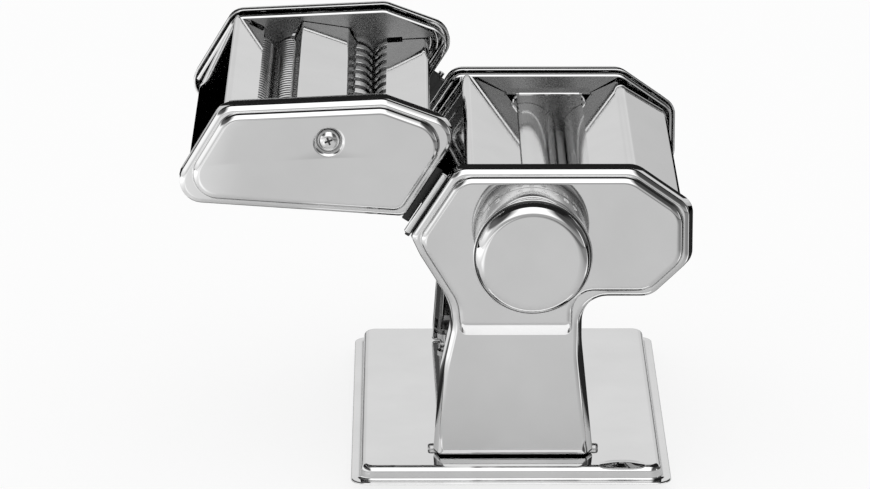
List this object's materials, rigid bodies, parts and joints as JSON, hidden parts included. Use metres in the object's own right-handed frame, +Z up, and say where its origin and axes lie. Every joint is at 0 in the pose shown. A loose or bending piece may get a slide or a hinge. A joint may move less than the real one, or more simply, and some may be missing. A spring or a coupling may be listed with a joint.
{
  "type": "pasta roller machine",
  "caption": "Hand-cranked pasta sheet roller on a flat base, with an eccentric thickness dial and a slide-on double cutting head.",
  "frame": {"origin": "on the table, under the middle of the base", "axes": "+X across the machine, from the cutter head to the roller body's free side; +Y from the dial side to the crank side; +Z up"},
  "size_m": [0.2182, 0.2255, 0.1703],
  "materials": {
    "steel_sheet": "polished pressed steel sheet",
    "steel_roller": "smooth chromed roller",
    "steel_cutter": "grooved chromed cutter",
    "steel_inner": "plain steel, inside the machine",
    "bearing": "plain bearing bush",
    "rubber": "black rubber foot",
    "dark_clip": "dark spring clip"
  },
  "bodies": {
    "frame": {"base_tray": "steel_sheet", "foot_front_left": "rubber", "foot_front_right": "rubber", "foot_rear_left": "rubber", "foot_rear_right": "rubber", "foot_studs": "steel_inner", "front_side_plate": "steel_sheet", "rear_side_plate": "steel_sheet", "foot_bars": "steel_inner", "foot_bar_screws": "steel_inner", "foot_bar_nuts": "steel_inner", "front_bearing_plate": "steel_inner", "rear_bearing_plate": "steel_inner", "tie_rods": "steel_inner", "plate_bosses": "steel_inner", "left_cover": "steel_sheet", "right_cover": "steel_sheet", "front_end_guard": "steel_sheet", "rear_end_guard": "steel_sheet", "fixed_scraper": "steel_inner", "drive_bushes": "bearing", "dial_bushes": "bearing", "index_spring": "steel_inner", "head_rails": "steel_sheet", "rail_clips": "dark_clip"},
    "eccentric": {"eccentric_shaft": "steel_inner", "index_wheel": "steel_inner", "dial_screw": "steel_inner"},
    "dial": {"dial_skirt": "steel_sheet", "dial_cap": "steel_sheet", "stop_pin": "steel_inner", "dial_spring": "steel_inner"},
    "carrier": {"guide_bush": "bearing", "moving_scraper": "steel_inner"},
    "adjustable_roller": {"adjustable_roller": "steel_roller", "roller_sleeve": "bearing", "adjustable_gear": "steel_inner"},
    "drive_roller": {"drive_roller": "steel_roller", "drive_gear": "steel_inner"},
    "cutter_head": {"head_front_plate": "steel_sheet", "head_rear_plate": "steel_sheet", "head_bearing_plates": "steel_inner", "head_tie_rods": "steel_inner", "head_plate_screws": "steel_sheet", "head_left_cover": "steel_sheet", "head_centre_panel": "steel_sheet", "head_right_cover": "steel_sheet", "head_end_guards": "steel_sheet", "fine_combs": "steel_inner", "wide_combs": "steel_inner", "head_bushes": "bearing", "head_hooks": "steel_sheet"},
    "fine_right": {"fine_cutter_right": "steel_cutter", "fine_gear_right": "bearing"},
    "fine_left": {"fine_cutter_left": "steel_cutter", "fine_gear_left": "bearing"},
    "wide_left": {"wide_cutter_left": "steel_cutter", "wide_gear_left": "bearing"},
    "wide_right": {"wide_cutter_right": "steel_cutter", "wide_gear_right": "bearing"}
  },
  "joints": [
    {"name": "dial_turn", "type": "hinge", "parent": "frame", "child": "eccentric", "pos_m": [0.0084, 0, 0.10872], "axis": [0, -1, 0], "range_deg": [-50, 62.5]},
    {"name": "dial_pull", "type": "slide", "parent": "eccentric", "child": "dial", "axis": [0, -1, 0], "range_m": [0, 0.004], "stiffness_N_per_m": 800, "deforming": ["dial_spring"]},
    {"name": "carrier_follow", "type": "hinge", "parent": "eccentric", "child": "carrier", "pos_m": [0.0092, 0, 0.1114], "axis": [0, -1, 0], "range_deg": [-62.5, 50]},
    {"name": "drive_turn", "type": "hinge", "parent": "frame", "child": "drive_roller", "pos_m": [0.0393, 0, 0.1114], "axis": [0, -1, 0], "continuous": true},
    {"name": "adjustable_turn", "type": "hinge", "parent": "carrier", "child": "adjustable_roller", "pos_m": [0.0092, 0, 0.1114], "axis": [0, -1, 0], "continuous": true},
    {"name": "head_slide", "type": "slide", "parent": "frame", "child": "cutter_head", "axis": [0.5417, 0, 0.8406], "range_m": [0, 0.036]},
    {"name": "fine_turn", "type": "hinge", "parent": "cutter_head", "child": "fine_right", "pos_m": [-0.0956, 0, 0.1478], "axis": [0, -1, 0], "continuous": true},
    {"name": "fine_follow", "type": "hinge", "parent": "cutter_head", "child": "fine_left", "pos_m": [-0.1114, 0, 0.1478], "axis": [0, -1, 0], "continuous": true},
    {"name": "wide_turn", "type": "hinge", "parent": "cutter_head", "child": "wide_left", "pos_m": [-0.0671, 0, 0.1452], "axis": [0, -1, 0], "continuous": true},
    {"name": "wide_follow", "type": "hinge", "parent": "cutter_head", "child": "wide_right", "pos_m": [-0.0513, 0, 0.1452], "axis": [0, -1, 0], "continuous": true}
  ],
  "couplings": [
    {"joint": "carrier_follow", "follows": "dial_turn", "ratio": -1},
    {"joint": "adjustable_turn", "follows": "drive_turn", "ratio": -1},
    {"joint": "fine_follow", "follows": "fine_turn", "ratio": -1},
    {"joint": "wide_follow", "follows": "wide_turn", "ratio": -1}
  ]
}
